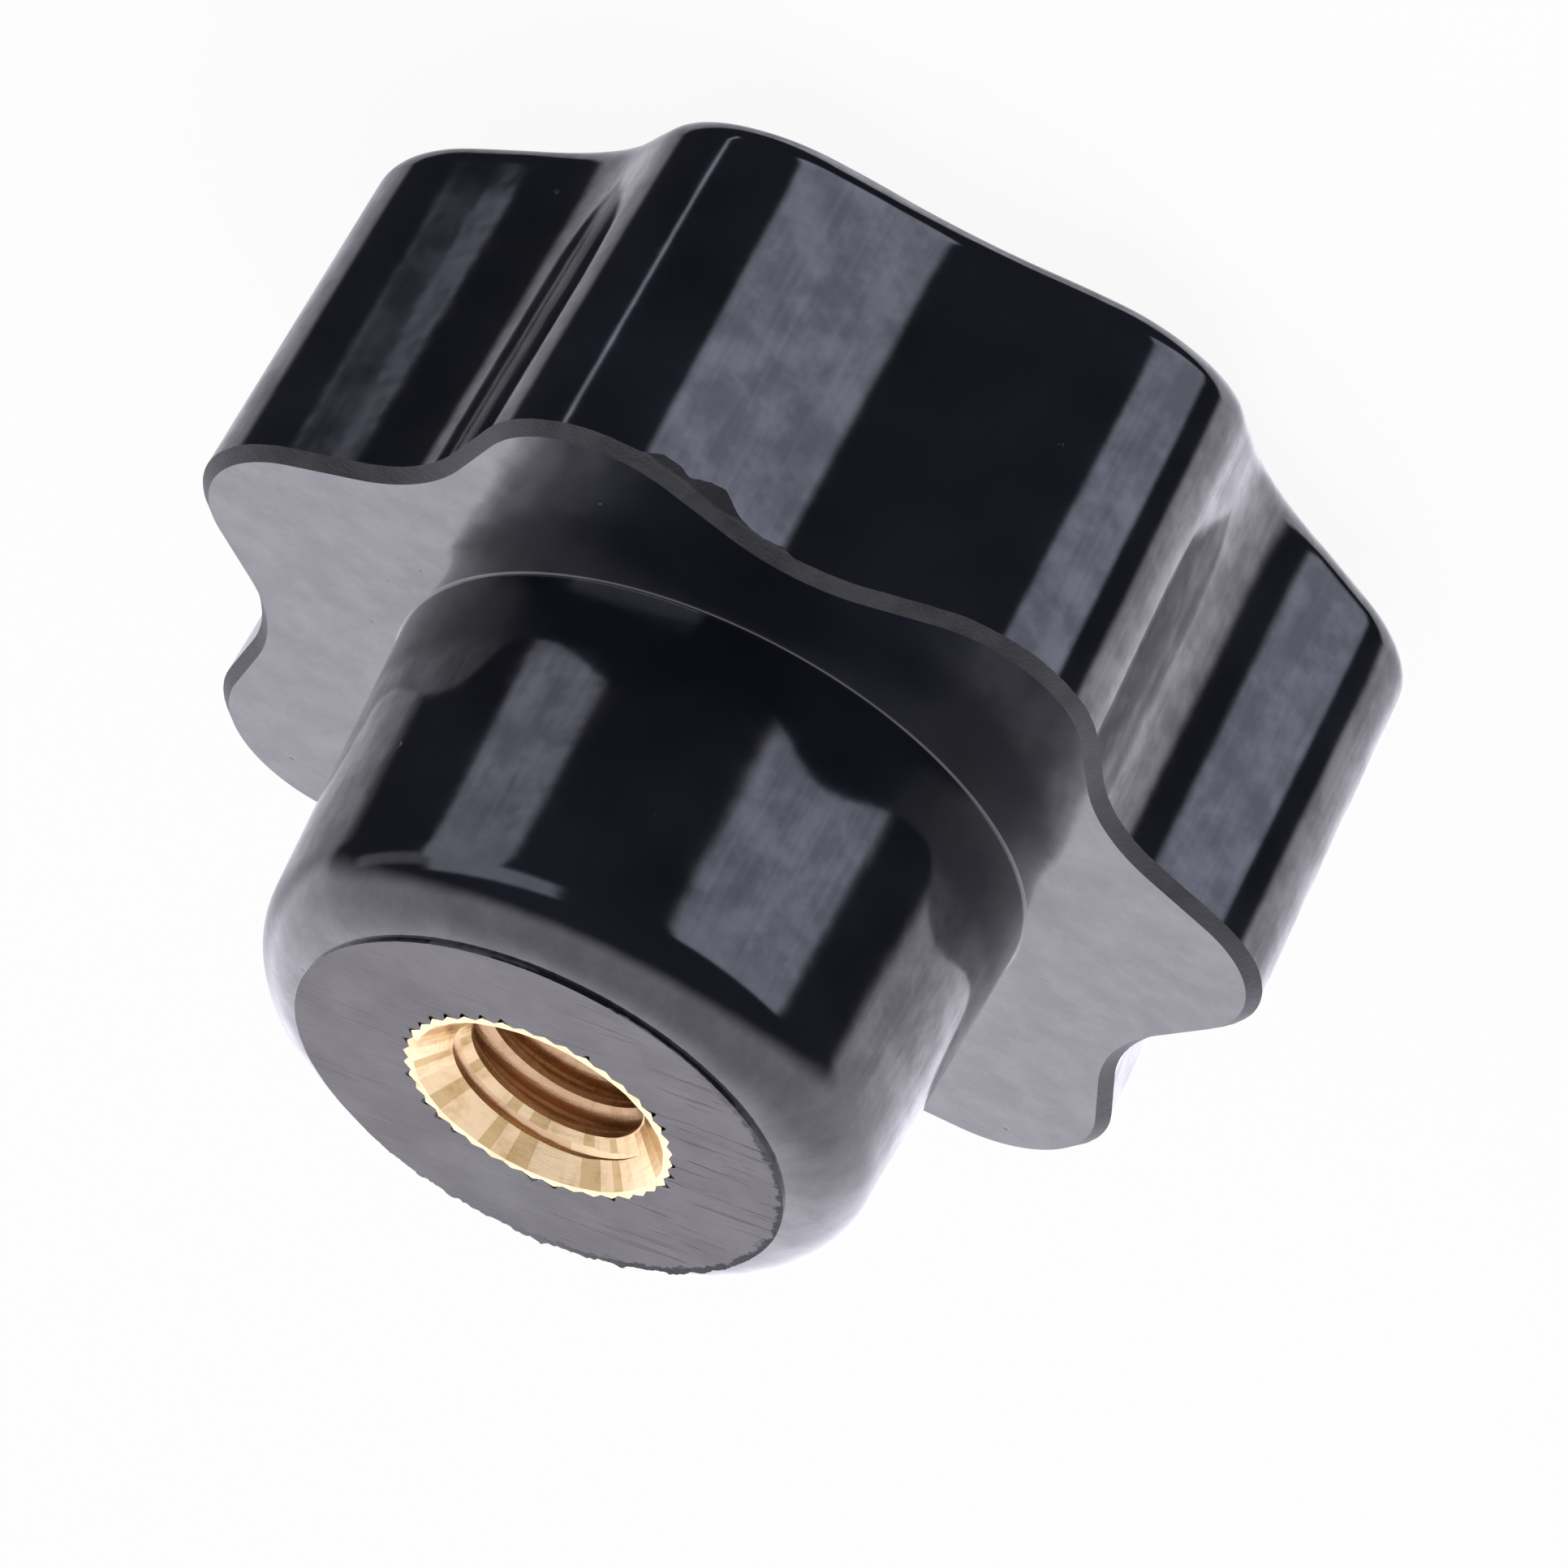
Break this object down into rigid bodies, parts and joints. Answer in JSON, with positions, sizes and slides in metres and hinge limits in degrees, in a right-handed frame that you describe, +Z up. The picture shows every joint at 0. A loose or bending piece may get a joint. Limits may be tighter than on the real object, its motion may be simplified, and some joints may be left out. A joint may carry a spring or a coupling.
{
  "type": "star knob",
  "caption": "Black moulded star knob: a lobed, domed head with finger valleys on a round boss that holds a blind threaded brass insert.",
  "frame": {"origin": "the lowest point of the domed crown, on the knob's axis; the knob stands on its crown", "axes": "+Z up the knob's axis, from the crown to the boss and out of the insert's mouth; +X lies an eighth of a lobe pitch before a lobe's middle"},
  "size_m": [0.0312, 0.0312, 0.0242],
  "materials": {
    "black_moulding": "polished as moulded, with a faced matt end on the boss and a matt ground bevel on the head",
    "insert_brass": "bright machined"
  },
  "bodies": {
    "root": {"knob_body": "black_moulding", "threaded_insert": "insert_brass"}
  },
  "joints": []
}
